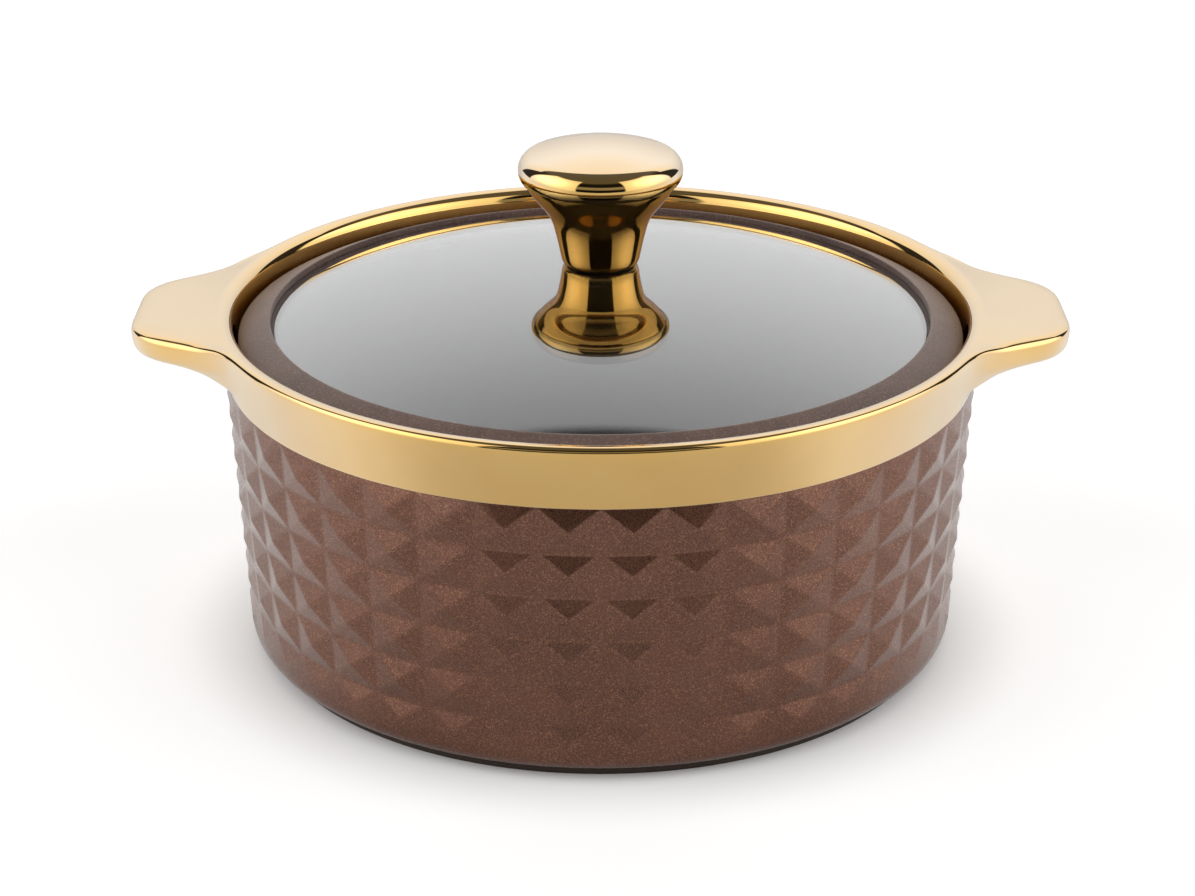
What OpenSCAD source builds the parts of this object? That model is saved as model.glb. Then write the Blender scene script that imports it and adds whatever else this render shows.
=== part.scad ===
// Round lidded casserole: faceted brown pot, gold rim collar with two lug handles,
// and a lift-off domed glass lid with a soft rim and a gold mushroom knob.
// The origin is on the table under the pot's axis, +Z is up, the handles lie along X.

/* [Pot] */
// Height from the table to the top of the gold rim
pot_h = 116.5; // [100:0.5:140]
// Radius of the wall's valley corners, just under the gold band
wall_r = 124.2; // [112:0.1:140]
// Inward lean of the wall towards the foot, in degrees
wall_draft = 3.3; // [0:0.1:5]
// Thickness of the wall behind the valley corners
wall_t = 7.7; // [6:0.1:9]
// Thickness of the pot's floor
floor_t = 6; // [4:0.5:10]
// Rounding of the outer bottom edge
bottom_round = 6; // [3:0.5:8]
// Rounding between the inner floor and the inner wall
inner_round = 12; // [5:0.5:20]

/* [Wall pattern] */
// Pyramids around the wall
columns = 40; // [28:1:52]
// Full rows of pyramids
rows = 5; // [3:1:7]
// Height of the lowest valley line above the table
plain_h = 20.2; // [16:0.1:30]
// How far a pyramid's point stands out of the circle of valley corners
peak_h = 1.7; // [0.4:0.1:2.4]

/* [Foot] */
// Height of the foot disc that shows under the pot
foot_h = 3; // [1.5:0.1:5]
// How far the foot disc is let into the pot's bottom
foot_sink = 1.2; // [0.6:0.1:2]
// Step from the edge of the pot's flat bottom in to the foot disc
foot_inset = 0.5; // [0.5:0.1:8]
// Bevel on the lower edge of the foot disc
foot_bevel = 0.6; // [0.2:0.1:1]

/* [Rim collar] */
// Height of the gold band from its lower edge to the rim's top
band_h = 21.8; // [18:0.1:30]
// How far the band's lower edge stands out of the valley corners
band_lip = 0.4; // [0.2:0.1:1.5]
// How far the band flares out from its lower edge to the rim
band_flare = 4.4; // [1:0.1:7]
// Bevel on the band's lower edge
band_bevel = 0.8; // [0.3:0.1:1.5]
// Outer rounding of the rim's top
rim_round_out = 2.4; // [1:0.1:3]
// Inner rounding of the rim's top
rim_round_in = 3.5; // [1.5:0.1:4]
// How far the rim's inside flares out over the lid's seat
seat_flare = 1.7; // [0.5:0.1:3]
// Depth of the lid's seat below the rim's top
seat_depth = 14.5; // [12:0.1:17]
// Width of the seat, which is the thickness of the pot's neck
neck_t = 3; // [2:0.1:4]

/* [Handles] */
// How far a handle reaches out beyond the rim
handle_reach = 26.2; // [21:0.1:32]
// Width of a handle at its tip, between the lines of its sides
handle_tip_w = 45.5; // [38:0.5:52]
// How far each side of a handle leans out towards the pot, in degrees
handle_lean = 34.8; // [24:0.1:38]
// Rounding of the handle's tip corners
handle_corner = 23; // [12:0.5:24]
// Rounding where a handle's sides run into the rim
handle_fillet = 22; // [10:0.5:22]
// Thickness of a handle
handle_t = 9.1; // [7:0.1:12]
// How far the tip of a handle drops below the rim's top
handle_drop = 2.3; // [0:0.1:4]
// How soon the top of a handle levels out from the rim's top
handle_level = 2.5; // [1:0.1:4]
// Height of the rounding under a handle, where it runs into the band
handle_under = 8; // [4:0.5:10]
// How far that rounding reaches out from the band
handle_sweep = 16; // [8:0.5:16]

/* [Lid] */
// Play between the lid's soft rim and the seat
lid_play = 0.7; // [0.4:0.1:1.5]
// Width of the soft rim's sloping face
rim_face_w = 10.9; // [8:0.1:14]
// Height of the soft rim's outer edge over the seat
rim_edge_h = 7; // [5.5:0.1:9]
// Rise of the soft rim's face to its crest
rim_face_rise = 4.3; // [2:0.1:6]
// How far the glass lies below the crest
glass_sink = 2; // [1:0.1:2.6]
// Rise of the glass dome over the crest
dome_rise = 16.6; // [10:0.1:24]
// Thickness of the glass
glass_t = 4; // [3:0.1:5]
// Soft rim outside the glass's edge
rim_lip = 3.8; // [2.5:0.1:5]
// Bevel on the soft rim's edges
rim_bevel = 0.8; // [0.3:0.1:1.2]

/* [Knob] */
// Height of the knob's stem
stem_h = 28.3; // [22:0.1:40]
// Radius of the stem where it stands on the lid
stem_foot_r = 13.4; // [11:0.1:18]
// Radius of the stem where it meets the cap
stem_top_r = 25.4; // [20:0.1:32]
// How late the stem flares out towards the cap
stem_curve = 2.1; // [1.5:0.1:3]
// Wall of the stem
stem_wall = 2; // [1:0.1:3]
// Floor of the stem, which the screw clamps
stem_floor = 3; // [2.5:0.1:5]
// How far the cap stands out over the stem
cap_over = 1.8; // [0.5:0.1:5]
// Rounding of the cap's edge
cap_round = 5.4; // [3:0.1:7]
// Height of the cap over the stem
cap_h = 13.1; // [10.8:0.1:18]
// Radius of the screw
screw_r = 2.5; // [2:0.1:4]
// Length of the screw's grip in the bush
screw_grip = 14; // [8:0.5:20]
// Wall of the threaded bush around the screw
bush_wall = 2.6; // [1.5:0.1:3]
// How far the bush is pressed into the cap
bush_press = 6; // [3:0.1:7]
// Thickness of the soft washers on both sides of the glass
washer_t = 1.2; // [1.1:0.1:2]
// Gap between the stem's foot and the glass, which the upper soft washer holds open
stem_gap = 0.2; // [0.1:0.1:1]
// Step from the edge of the stem's foot in to the upper soft washer
washer_edge = 2.4; // [1:0.1:4]
// Radius of the lower soft washer
lower_r = 8.5; // [6.5:0.1:12]
// Step from the edge of the lower soft washer in to the steel washer
plate_edge = 1.5; // [0.5:0.1:1.5]
// Thickness of the steel washer
plate_t = 1; // [0.6:0.1:2]
// Radius of the screw's head
head_r = 4.8; // [3.5:0.1:5]
// Height of the screw's head
head_h = 3; // [2:0.1:4]
// Width of the cross slot in the screw's head
slot_w = 1; // [0.6:0.1:1.6]

/* [Clearances] */
// Gap between pieces that are bonded or clamped together
bond_gap = 0.1; // [0.05:0.01:0.2]
// Gap between the screw and the holes it passes through
screw_gap = 0.2; // [0.1:0.05:0.5]
// Gap between the screw and the glass's hole
glass_gap = 1.5; // [0.5:0.1:3]

/* [Hidden] */
$fn = 96;

// Room that a cutting shape takes beyond the face that it cuts
cut = 1;
// Segments in a small arc and in a stem
arc_n = 8;
stem_n = 14;
// Where the cap's rounded edge ends, in degrees below and above its widest circle
cap_under_a = 40;
cap_crown_a = 62;
// Share of the plain zone that the last half row of pyramids takes up
last_row = 0.6;

// Heights
band_z = pot_h - band_h;
seat_z = pot_h - seat_depth;
round_z = foot_h + bottom_round;
floor_z = foot_h + floor_t;
row_h = (band_z - plain_h) / rows;
last_peak_z = plain_h - last_row * (plain_h - round_z);

// Radii of the pot and the collar
cavity_r = wall_r - wall_t;
neck_r = cavity_r + neck_t;
bore_r = neck_r + bond_gap;
band_r = wall_r + band_lip;
rim_r = band_r + band_flare;
crest_r = rim_r - rim_round_out;
seat_r = crest_r - rim_round_in - seat_flare;
flat_r = skin_r(round_z) + peak_h - bottom_round;
foot_r = flat_r - foot_inset;

// Handles
tip_r = rim_r + handle_reach;
tip_round = handle_t / 2;
handle_low_z = pot_h - handle_drop - handle_t;

// Lid
lid_r = seat_r - lid_play;
lid_crest_r = lid_r - rim_face_w;
lid_edge_z = seat_z + rim_edge_h;
lid_crest_z = lid_edge_z + rim_face_rise;
glass_r = lid_r - rim_lip;
apex_z = lid_crest_z + dome_rise;
dome_sag = dome_rise + glass_sink;
dome_r = (lid_crest_r * lid_crest_r + dome_sag * dome_sag) / (2 * dome_sag);
dome_z = apex_z - dome_r;
under_r = dome_r - glass_t;
rim_inner_z = dome_z + height_on(under_r, lid_crest_r) - rim_face_rise / 2;
rim_seat_r = lid_crest_r + rim_face_w / 2;

// Knob
washer_r = stem_foot_r - washer_edge;
stem_z = apex_z + stem_gap;
washer_sink = washer_t - stem_gap;
cap_z = stem_z + stem_h;
cap_r = stem_top_r + cap_over;
cap_edge_z = cap_z + cap_round * sin(cap_under_a);
hole_r = screw_r + screw_gap;
glass_hole_r = screw_r + glass_gap;
bush_r = screw_r + bush_wall;
bush_z = stem_z + stem_floor;
lower_z = dome_z + height_on(under_r, lower_r) - washer_t;
plate_r = lower_r - plate_edge;
plate_z = lower_z - plate_t;

// Radius of the circle of valley corners at a height
function skin_r(z) = wall_r - (band_z - z) * tan(wall_draft);

// Height of a sphere's surface over its centre, at a distance from the axis
function height_on(sphere_r, r) = sqrt(sphere_r * sphere_r - r * r);

function polar(r, a, z) = [r * cos(a), r * sin(a), z];

// Points of an arc from angle a0 to angle a1
function arc(c, r, a0, a1, n = arc_n) =
    [for (i = [0 : n]) let (a = a0 + (a1 - a0) * i / n) c + r * [cos(a), sin(a)]];

// Radius of the stem at a height above its foot
function stem_r(h) = stem_foot_r + (stem_top_r - stem_foot_r) * pow(h / stem_h, stem_curve);

// The pot's outer skin: valley rings and peak rings alternate, and the last half row
// runs out into the plain zone and the rounded bottom edge
module faceted_skin() {
    step = 360 / columns;
    valley = [for (j = [0 : rows], i = [0 : columns - 1])
        let (z = band_z - j * row_h) polar(skin_r(z), i * step, z)];
    peaks = [for (j = [0 : rows], i = [0 : columns - 1])
        let (z = j < rows ? band_z - (j + 0.5) * row_h : last_peak_z)
        polar(skin_r(z) + peak_h, (i + 0.5) * step, z)];
    edge = arc([flat_r, round_z], bottom_round, 0, -90);
    rounding = [for (p = edge, i = [0 : 2 * columns - 1]) polar(p.x, i * step / 2, p.y)];
    ends = [[0, 0, band_z], [0, 0, foot_h]];
    first_peak = len(valley);
    first_round = first_peak + len(peaks);
    top = first_round + len(rounding);
    v = function(j, i) j * columns + i % columns;
    p = function(j, i) first_peak + j * columns + i;
    e = function(k, i) first_round + k * 2 * columns + i % (2 * columns);
    full = [for (j = [0 : rows - 1], i = [0 : columns - 1]) each [
        [v(j, i), v(j, i + 1), p(j, i)], [v(j, i + 1), v(j + 1, i + 1), p(j, i)],
        [v(j + 1, i + 1), v(j + 1, i), p(j, i)], [v(j + 1, i), v(j, i), p(j, i)]]];
    half = [for (i = [0 : columns - 1]) let (q = p(rows, i), k = 2 * i) each [
        [v(rows, i), v(rows, i + 1), q], [v(rows, i + 1), e(0, k + 2), q],
        [e(0, k + 2), e(0, k + 1), q], [e(0, k + 1), e(0, k), q], [e(0, k), v(rows, i), q]]];
    bottom = [for (k = [0 : len(edge) - 2], i = [0 : 2 * columns - 1]) each [
        [e(k, i), e(k, i + 1), e(k + 1, i + 1)], [e(k, i), e(k + 1, i + 1), e(k + 1, i)]]];
    caps = [for (i = [0 : 2 * columns - 1]) [e(len(edge) - 1, i), e(len(edge) - 1, i + 1), top + 1]];
    lid_caps = [for (i = [0 : columns - 1]) [v(0, i + 1), v(0, i), top]];
    polyhedron(concat(valley, peaks, rounding, ends), concat(full, half, bottom, caps, lid_caps));
}

module cavity() {
    wall_foot = floor_z + inner_round;
    foot_c = [skin_r(wall_foot) - wall_t - inner_round, wall_foot];
    rotate_extrude()
        polygon(concat([[0, floor_z]], arc(foot_c, inner_round, -90, 0),
            [[cavity_r, band_z], [cavity_r, seat_z + cut], [0, seat_z + cut]]));
}

module pot_body() {
    color("#5a3f35")
    difference() {
        union() {
            faceted_skin();
            translate([0, 0, band_z - cut]) cylinder(r = neck_r, h = seat_z - band_z + cut);
        }
        cavity();
        translate([0, 0, foot_h - cut]) cylinder(r = foot_r + bond_gap, h = foot_sink + cut);
    }
}

module base_disc() {
    color("#2b211d")
    rotate_extrude()
        polygon([[0, 0], [foot_r - foot_bevel, 0], [foot_r, foot_bevel],
            [foot_r, foot_h + foot_sink], [0, foot_h + foot_sink]]);
}

// Section of the collar: bore, bevelled lower edge, flared face, rounded rim, lid seat
module collar_section() {
    out_c = [crest_r, pot_h - rim_round_out];
    in_c = [crest_r, pot_h - rim_round_in];
    polygon(concat(
        [[bore_r, band_z], [band_r - band_bevel, band_z], [band_r, band_z + band_bevel]],
        arc(out_c, rim_round_out, 0, 90),
        arc(in_c, rim_round_in, 90, 180),
        [[seat_r, lid_edge_z], [seat_r, seat_z], [bore_r, seat_z]]));
}

// Plan of a handle that points along +X, from inside the rim to past the tip
module handle_plan() {
    side = [cos(180 - handle_lean), sin(180 - handle_lean)];
    normal = [sin(handle_lean), cos(handle_lean)];
    tip = [tip_r, handle_tip_w / 2];
    // Centre of the root fillet: a fillet off the side line, and the same off the rim
    start = tip + handle_fillet * normal;
    along = start * side;
    reach = rim_r + handle_fillet;
    t = -along - sqrt(along * along - start * start + reach * reach);
    fillet_c = start + t * side;
    root_a = atan2(-fillet_c.y, -fillet_c.x);
    // Centre of the tip corner: one corner radius off the side line and off the tip
    corner_c = [tip.x - handle_corner,
        tip.y - handle_corner * (1 - sin(handle_lean)) / cos(handle_lean)];
    upper = concat(arc(fillet_c, handle_fillet, root_a, -90 - handle_lean),
        arc(corner_c, handle_corner, 90 - handle_lean, 0));
    lower = [for (i = [len(upper) - 1 : -1 : 0]) [upper[i].x, -upper[i].y]];
    polygon(concat([[0, 0]], upper, lower));
}

// A handle's thickness as a section that runs round the pot's axis
module handle_section() {
    top_z = pot_h - handle_drop;
    tip_c = [tip_r - tip_round, top_z - tip_round];
    under_c = [band_r + handle_sweep, handle_low_z - handle_under];
    under = [for (p = arc([0, 0], 1, 90, 180)) under_c + [handle_sweep * p.x, handle_under * p.y]];
    top = [for (i = [0 : arc_n - 1]) let (s = i / arc_n)
        [crest_r + (tip_c.x - crest_r) * s, pot_h - handle_drop * (1 - pow(1 - s, handle_level))]];
    polygon(concat(top, arc(tip_c, tip_round, 90, -90), under,
        [[bore_r + cut, handle_low_z - handle_under]]));
}

module handle() {
    intersection() {
        translate([0, 0, band_z]) linear_extrude(height = band_h + cut) handle_plan();
        rotate_extrude() handle_section();
    }
}

module rim_collar() {
    color("#d9ae5f") {
        rotate_extrude() collar_section();
        for (turn = [0, 180]) rotate([0, 0, turn]) handle();
    }
}

// The domed disc, larger by a gap on every side when it cuts the rim's channel
module glass_disc(gap) {
    difference() {
        intersection() {
            translate([0, 0, dome_z]) sphere(r = dome_r + gap);
            translate([0, 0, seat_z]) cylinder(r = glass_r + gap, h = apex_z - seat_z + cut);
        }
        translate([0, 0, dome_z]) sphere(r = under_r - gap);
    }
}

module lid_glass() {
    color("#c9cdd2", 0.45)
    difference() {
        glass_disc(0);
        translate([0, 0, seat_z]) cylinder(r = glass_hole_r, h = apex_z - seat_z + cut);
    }
}

module lid_rim() {
    color("#5e4a45")
    difference() {
        rotate_extrude()
            polygon([[rim_seat_r, seat_z], [lid_r - rim_bevel, seat_z], [lid_r, seat_z + rim_bevel],
                [lid_r, lid_edge_z - rim_bevel], [lid_r - rim_bevel, lid_edge_z],
                [lid_crest_r + rim_bevel, lid_crest_z], [lid_crest_r, lid_crest_z - rim_bevel],
                [lid_crest_r, rim_inner_z]]);
        glass_disc(bond_gap);
    }
}

module knob_stem() {
    inner = stem_h - stem_floor;
    outside = [for (i = [0 : stem_n]) let (h = stem_h * i / stem_n) [stem_r(h), stem_z + h]];
    inside = [for (i = [stem_n : -1 : 0]) let (h = stem_floor + inner * i / stem_n)
        [stem_r(h) - stem_wall, stem_z + h]];
    color("#c99a48")
    difference() {
        rotate_extrude() polygon(concat([[0, stem_z]], outside, inside, [[0, bush_z]]));
        translate([0, 0, stem_z - cut]) cylinder(r = hole_r, h = stem_floor + 2 * cut);
        translate([0, 0, stem_z - cut]) cylinder(r = washer_r + bond_gap, h = washer_sink + cut);
    }
}

module knob_cap() {
    edge_c = [cap_r - cap_round, cap_edge_z];
    edge = arc(edge_c, cap_round, -cap_under_a, cap_crown_a);
    shoulder = edge[arc_n];
    dome_h = cap_z + cap_h - shoulder.y;
    crown = [for (i = [1 : arc_n]) let (s = 1 - i / arc_n)
        [shoulder.x * s, shoulder.y + dome_h * (1 - s * s)]];
    color("#e0b768")
    difference() {
        rotate_extrude() polygon(concat([[0, cap_z]], edge, crown));
        translate([0, 0, cap_z - cut]) cylinder(r = bush_r + bond_gap, h = bush_press + cut);
    }
}

module knob_bush() {
    color("#b98f3e")
    difference() {
        translate([0, 0, bush_z]) cylinder(r = bush_r, h = cap_z + bush_press - bush_z);
        translate([0, 0, bush_z - cut])
            cylinder(r = screw_r + bond_gap, h = screw_grip + 2 * cut);
    }
}

module knob_screw() {
    color("#b9bcc0")
    difference() {
        union() {
            translate([0, 0, plate_z - head_h]) cylinder(r = head_r, h = head_h);
            translate([0, 0, plate_z - cut]) cylinder(r = screw_r, h = bush_z + screw_grip - plate_z + cut);
        }
        for (turn = [0, 90]) rotate([0, 0, turn])
            translate([-head_r / 2, -slot_w / 2, plate_z - head_h - cut])
                cube([head_r, slot_w, cut + head_h / 2]);
    }
}

// A flat ring on the knob's axis
module flat_ring(r, z, h) {
    difference() {
        translate([0, 0, z]) cylinder(r = r, h = h);
        translate([0, 0, z - cut]) cylinder(r = hole_r, h = h + 2 * cut);
    }
}

module upper_washer() {
    color("#33302f") flat_ring(washer_r, apex_z, washer_t);
}

module lower_washer() {
    color("#33302f") flat_ring(lower_r, lower_z, washer_t);
}

module screw_washer() {
    color("#c2c5c8") flat_ring(plate_r, plate_z, plate_t);
}

pot_body();
base_disc();
rim_collar();
lid_glass();
lid_rim();
knob_stem();
knob_cap();
knob_bush();
knob_screw();
upper_washer();
lower_washer();
screw_washer();
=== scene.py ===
import bpy
import bmesh
from math import atan2, cos, hypot, pi, radians, sin, sqrt, tan
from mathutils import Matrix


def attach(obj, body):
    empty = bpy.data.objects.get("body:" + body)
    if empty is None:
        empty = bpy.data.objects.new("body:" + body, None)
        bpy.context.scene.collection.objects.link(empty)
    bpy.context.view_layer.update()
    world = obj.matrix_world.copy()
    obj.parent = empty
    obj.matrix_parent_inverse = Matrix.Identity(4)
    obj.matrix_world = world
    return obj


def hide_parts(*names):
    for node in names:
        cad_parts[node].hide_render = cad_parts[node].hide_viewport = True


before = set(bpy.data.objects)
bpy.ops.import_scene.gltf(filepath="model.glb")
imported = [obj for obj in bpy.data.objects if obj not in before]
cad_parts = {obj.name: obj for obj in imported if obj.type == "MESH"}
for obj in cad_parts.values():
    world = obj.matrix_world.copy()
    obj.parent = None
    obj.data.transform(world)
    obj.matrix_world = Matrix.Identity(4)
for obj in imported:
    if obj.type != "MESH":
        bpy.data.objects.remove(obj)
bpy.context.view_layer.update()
scene = bpy.context.scene
scene.view_settings.view_transform = "Standard"
print("frame loaded:", sorted(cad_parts))

mm = 0.001
hair = 0.01  # mm: points closer than this count as one
margin = 0.1  # mm: room in tests of place


# camera, from the rim, band, wall lattice and foot in the picture

cameraSetup = {"aim": (-0.994, 0, 63.0), "distance": 1000, "elevation": 22.721, "focalPx": 2933.3,
               "widthPx": 1195, "sensor": 36}


def placeCamera(setup):
    lens = bpy.data.cameras.new("photoCamera")
    lens.sensor_fit = "HORIZONTAL"
    lens.sensor_width = setup["sensor"]
    lens.lens = setup["sensor"] * setup["focalPx"] / setup["widthPx"]
    camera = bpy.data.objects.new("photoCamera", lens)
    scene.collection.objects.link(camera)
    tilt = radians(setup["elevation"])
    x, y, z = setup["aim"]
    back = setup["distance"] * cos(tilt)
    up = setup["distance"] * sin(tilt)
    camera.location = (x * mm, (y - back) * mm, (z + up) * mm)
    camera.rotation_euler = (pi / 2 - tilt, 0, 0)
    scene.camera = camera


placeCamera(cameraSetup)
print("camera placed")


# hand tools for edit mode

def freshPiece(name, **circle):
    # a circle is the start of every piece here
    bpy.ops.object.select_all(action="DESELECT")
    bpy.ops.mesh.primitive_circle_add(enter_editmode=True, **circle)
    bpy.ops.mesh.select_mode(type="VERT")
    bpy.ops.mesh.select_all(action="SELECT")
    piece = bpy.context.object
    piece.name = name
    piece.data.name = name
    return piece


def pick(piece, kind, test):
    # select what passes the test, by its place, and count it
    bpy.ops.mesh.select_mode(type=kind)
    bpy.ops.mesh.select_all(action="DESELECT")
    cage = bmesh.from_edit_mesh(piece.data)
    group = {"VERT": cage.verts, "EDGE": cage.edges, "FACE": cage.faces}[kind]
    count = 0
    for part in group:
        if test(part):
            part.select_set(True)
            count += 1
    cage.select_flush_mode()
    bmesh.update_edit_mesh(piece.data)
    return count


def atPoint(point):
    # test for a vertex at a place, in mm
    return lambda v: sum(abs(v.co[i] / mm - point[i]) for i in range(3)) < 2 * hair


def atHeight(z):
    # test for an edge that lies level at a height, in mm
    return lambda edge: all(abs(v.co.z - z * mm) < hair * mm for v in edge.verts)


def isOpen(edge):
    return len(edge.link_faces) == 1


def pickedRadii(piece):
    # distances of the selected vertices from the axis, in mm
    return [hypot(v.co.x, v.co.y) / mm for v in bmesh.from_edit_mesh(piece.data).verts if v.select]


def rise(dz):
    bpy.ops.transform.translate(value=(0, 0, dz * mm))


def widen(factor):
    bpy.ops.transform.resize(value=(factor, factor, 1), center_override=(0, 0, 0))


def pullRing(ring, radius, z):
    # extrude the selected ring to a new radius and height, in mm
    bpy.ops.mesh.extrude_region_move()
    widen(radius / ring["r"])
    rise(z - ring["z"])
    ring["r"], ring["z"] = radius, z


def closeUp():
    bpy.ops.mesh.select_all(action="SELECT")
    bpy.ops.mesh.remove_doubles(threshold=hair * mm)
    bpy.ops.mesh.normals_make_consistent(inside=False)


def doneEditing(piece, smoothAngle):
    bpy.ops.object.mode_set(mode="OBJECT")
    bpy.ops.object.select_all(action="DESELECT")
    piece.select_set(True)
    bpy.context.view_layer.objects.active = piece
    bpy.ops.object.transform_apply(location=True, rotation=True, scale=True)
    bpy.ops.object.shade_smooth_by_angle(angle=radians(smoothAngle))


def addModifier(piece, kind, **settings):
    modifier = piece.modifiers.new(kind.lower(), kind)
    for key, value in settings.items():
        setattr(modifier, key, value)
    bpy.ops.object.modifier_apply(modifier=modifier.name)


def drawLine(name, points, closed):
    # one vertex, drawn on from point to point in the XZ plane, in mm
    piece = freshPiece(name, vertices=3, radius=mm)
    bpy.ops.mesh.merge(type="CENTER")
    bpy.ops.transform.translate(value=(points[0][0] * mm, 0, points[0][1] * mm))
    for a, b in zip(points, points[1:]):
        step = ((b[0] - a[0]) * mm, 0, (b[1] - a[1]) * mm)
        bpy.ops.mesh.extrude_region_move(TRANSFORM_OT_translate={"value": step})
    if closed:
        isEnd = [atPoint((r, 0, z)) for r, z in (points[0], points[-1])]
        pick(piece, "VERT", lambda v: isEnd[0](v) or isEnd[1](v))
        bpy.ops.mesh.edge_face_add()
    return piece


def turnOnLathe(name, points, steps, closed, smoothAngle):
    piece = drawLine(name, points, closed)
    bpy.ops.mesh.select_all(action="SELECT")
    bpy.ops.mesh.spin(steps=steps, angle=2 * pi, center=(0, 0, 0), axis=(0, 0, 1))
    closeUp()
    doneEditing(piece, smoothAngle)
    return piece


def polar(radius, angle):
    return (radius * cos(angle), radius * sin(angle))


def bow(centre, radius, start, end, count):
    # points of an arc between two angles in degrees
    steps = [polar(radius, radians(start + (end - start) * i / count)) for i in range(count + 1)]
    return [(centre[0] + x, centre[1] + y) for x, y in steps]


# shader maths

class Value:
    def __init__(self, board, socket):
        self.board = board
        self.socket = socket

    def __add__(self, other):
        return self.board.maths("ADD", self, other)

    def __radd__(self, other):
        return self.board.maths("ADD", other, self)

    def __sub__(self, other):
        return self.board.maths("SUBTRACT", self, other)

    def __rsub__(self, other):
        return self.board.maths("SUBTRACT", other, self)

    def __mul__(self, other):
        return self.board.maths("MULTIPLY", self, other)

    def __rmul__(self, other):
        return self.board.maths("MULTIPLY", other, self)

    def __truediv__(self, other):
        return self.board.maths("DIVIDE", self, other)

    def __rtruediv__(self, other):
        return self.board.maths("DIVIDE", other, self)

    def __pow__(self, other):
        return self.board.maths("POWER", self, other)

    def __rpow__(self, other):
        return self.board.maths("POWER", other, self)


class Board:
    def __init__(self, name, world=False):
        store = bpy.data.worlds if world else bpy.data.materials
        self.owner = store.new(name)
        self.owner.use_nodes = True
        self.tree = self.owner.node_tree
        self.tree.nodes.clear()
        self.end = self.tree.nodes.new("ShaderNodeOutputWorld" if world else "ShaderNodeOutputMaterial")

    def node(self, kind, settings=None, inputs=None, output=0):
        made = self.tree.nodes.new("ShaderNode" + kind)
        for key, value in (settings or {}).items():
            setattr(made, key, value)
        for key, value in (inputs or {}).items():
            socket = made.inputs[key]
            if isinstance(value, Value):
                self.tree.links.new(value.socket, socket)
            elif socket.type == "RGBA":
                socket.default_value = (*value, 1)
            else:
                socket.default_value = value
        return Value(self, made.outputs[output])

    def maths(self, operation, *values):
        return self.node("Math", {"operation": operation}, dict(enumerate(values)))

    def place(self):
        return self.node("TexCoord", output="Object")

    def parts(self, vector):
        made = self.node("SeparateXYZ", inputs={0: vector})
        return [Value(self, socket) for socket in made.socket.node.outputs]

    def grain(self, scale, detail=2.0, rough=0.5, where=None):
        return self.node("TexNoise", inputs={"Vector": where or self.place(), "Scale": scale,
                                             "Detail": detail, "Roughness": rough})

    def rings(self, where, scale, detail):
        return self.node("TexNoise", {"noise_dimensions": "1D"},
                         {"W": where, "Scale": scale, "Detail": detail})

    def span(self, value, low, high, outLow=0.0, outHigh=1.0):
        return self.node("MapRange", {"interpolation_type": "SMOOTHSTEP"},
                         {"Value": value, "From Min": low, "From Max": high,
                          "To Min": outLow, "To Max": outHigh})

    def blend(self, amount, a, b):
        # a Mix node has its colours in sockets 6 and 7, and the mixed colour in output 2
        return self.node("Mix", {"data_type": "RGBA"}, {"Factor": amount, 6: a, 7: b}, output=2)

    def bump(self, height, strength, depth):
        return self.node("Bump", inputs={"Height": height, "Strength": strength, "Distance": depth * mm})

    def slant(self):
        # 0 where the surface faces the eye, 1 where it is seen edge on
        return self.node("LayerWeight", inputs={"Blend": 0.5}, output="Facing")

    def principled(self, inputs):
        return self.node("BsdfPrincipled", inputs=inputs)

    def mixed(self, share, a, b):
        return self.node("MixShader", inputs={0: share, 1: a, 2: b})

    def finish(self, shader):
        self.tree.links.new(shader.socket, self.end.inputs[0])
        return self.owner


def dress(piece, material):
    piece.data.materials.clear()
    piece.data.materials.append(material)


# finishes: a noise is its scale, detail and roughness; a span is where a blend starts and ends, and its
# values there if they aren't 0 and 1; a bump is its strength and its depth in mm

# gold: a metal with a clear lacquer that pales it where it is seen at a slant

polish = {"haze": (38, 3), "wipe": (260, 2), "wipeStretch": (1, 1, 9), "deepSpan": (0.3, 0.75),
          "bump": (0.02, 0.02), "lacquerTint": (0.98, 0.97, 0.95)}
goldFinish = {"colour": (0.84, 0.545, 0.185), "deep": (0.81, 0.505, 0.155), "rough": (0.025, 0.055),
              "lacquer": 1.0, "lacquerMost": 0.45, "edge": (0.92, 0.85, 0.70)}
stemFinish = {"colour": (0.93, 0.52, 0.115), "deep": (0.90, 0.48, 0.095), "rough": (0.03, 0.06),
              "lacquer": 0.2, "lacquerMost": 0.08, "edge": (0.42, 0.24, 0.10)}
capFinish = {"colour": (0.86, 0.56, 0.19), "deep": (0.83, 0.52, 0.16), "rough": (0.025, 0.055),
             "lacquer": 1.7, "lacquerMost": 0.58, "edge": (0.85, 0.70, 0.45)}
# a darker, less glossy copy of the gold: painted shade on the collar's inner wall and under the knob's cap
shadedGoldFinish = {"colour": (0.80, 0.52, 0.18), "deep": (0.77, 0.48, 0.15), "rough": (0.03, 0.06),
              "lacquer": 0.15, "lacquerMost": 0.06, "edge": (0.60, 0.42, 0.20)}


def polishedGold(name, f):
    board = Board(name)
    haze = board.grain(*polish["haze"])
    drawn = board.node("Mapping", inputs={"Vector": board.place(), "Scale": polish["wipeStretch"]})
    wipe = board.grain(*polish["wipe"], where=drawn)
    colour = board.blend(board.span(haze, *polish["deepSpan"]), f["colour"], f["deep"])
    low, high = f["rough"]
    rough = low + (high - low) * haze * wipe * 2  # each noise is about a half
    metal = board.principled({"Base Color": colour, "Metallic": 1.0, "Roughness": rough,
                              "Specular Tint": f["edge"], "Normal": board.bump(wipe, *polish["bump"])})
    gloss = board.principled({"Base Color": polish["lacquerTint"], "Metallic": 1.0, "Roughness": rough})
    slant = board.slant()
    share = board.maths("MINIMUM", slant * slant * f["lacquer"], f["lacquerMost"])
    return board.finish(board.mixed(share, metal, gloss))


# brown coat of the pot, with metallic flecks; sizes in mm

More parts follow.
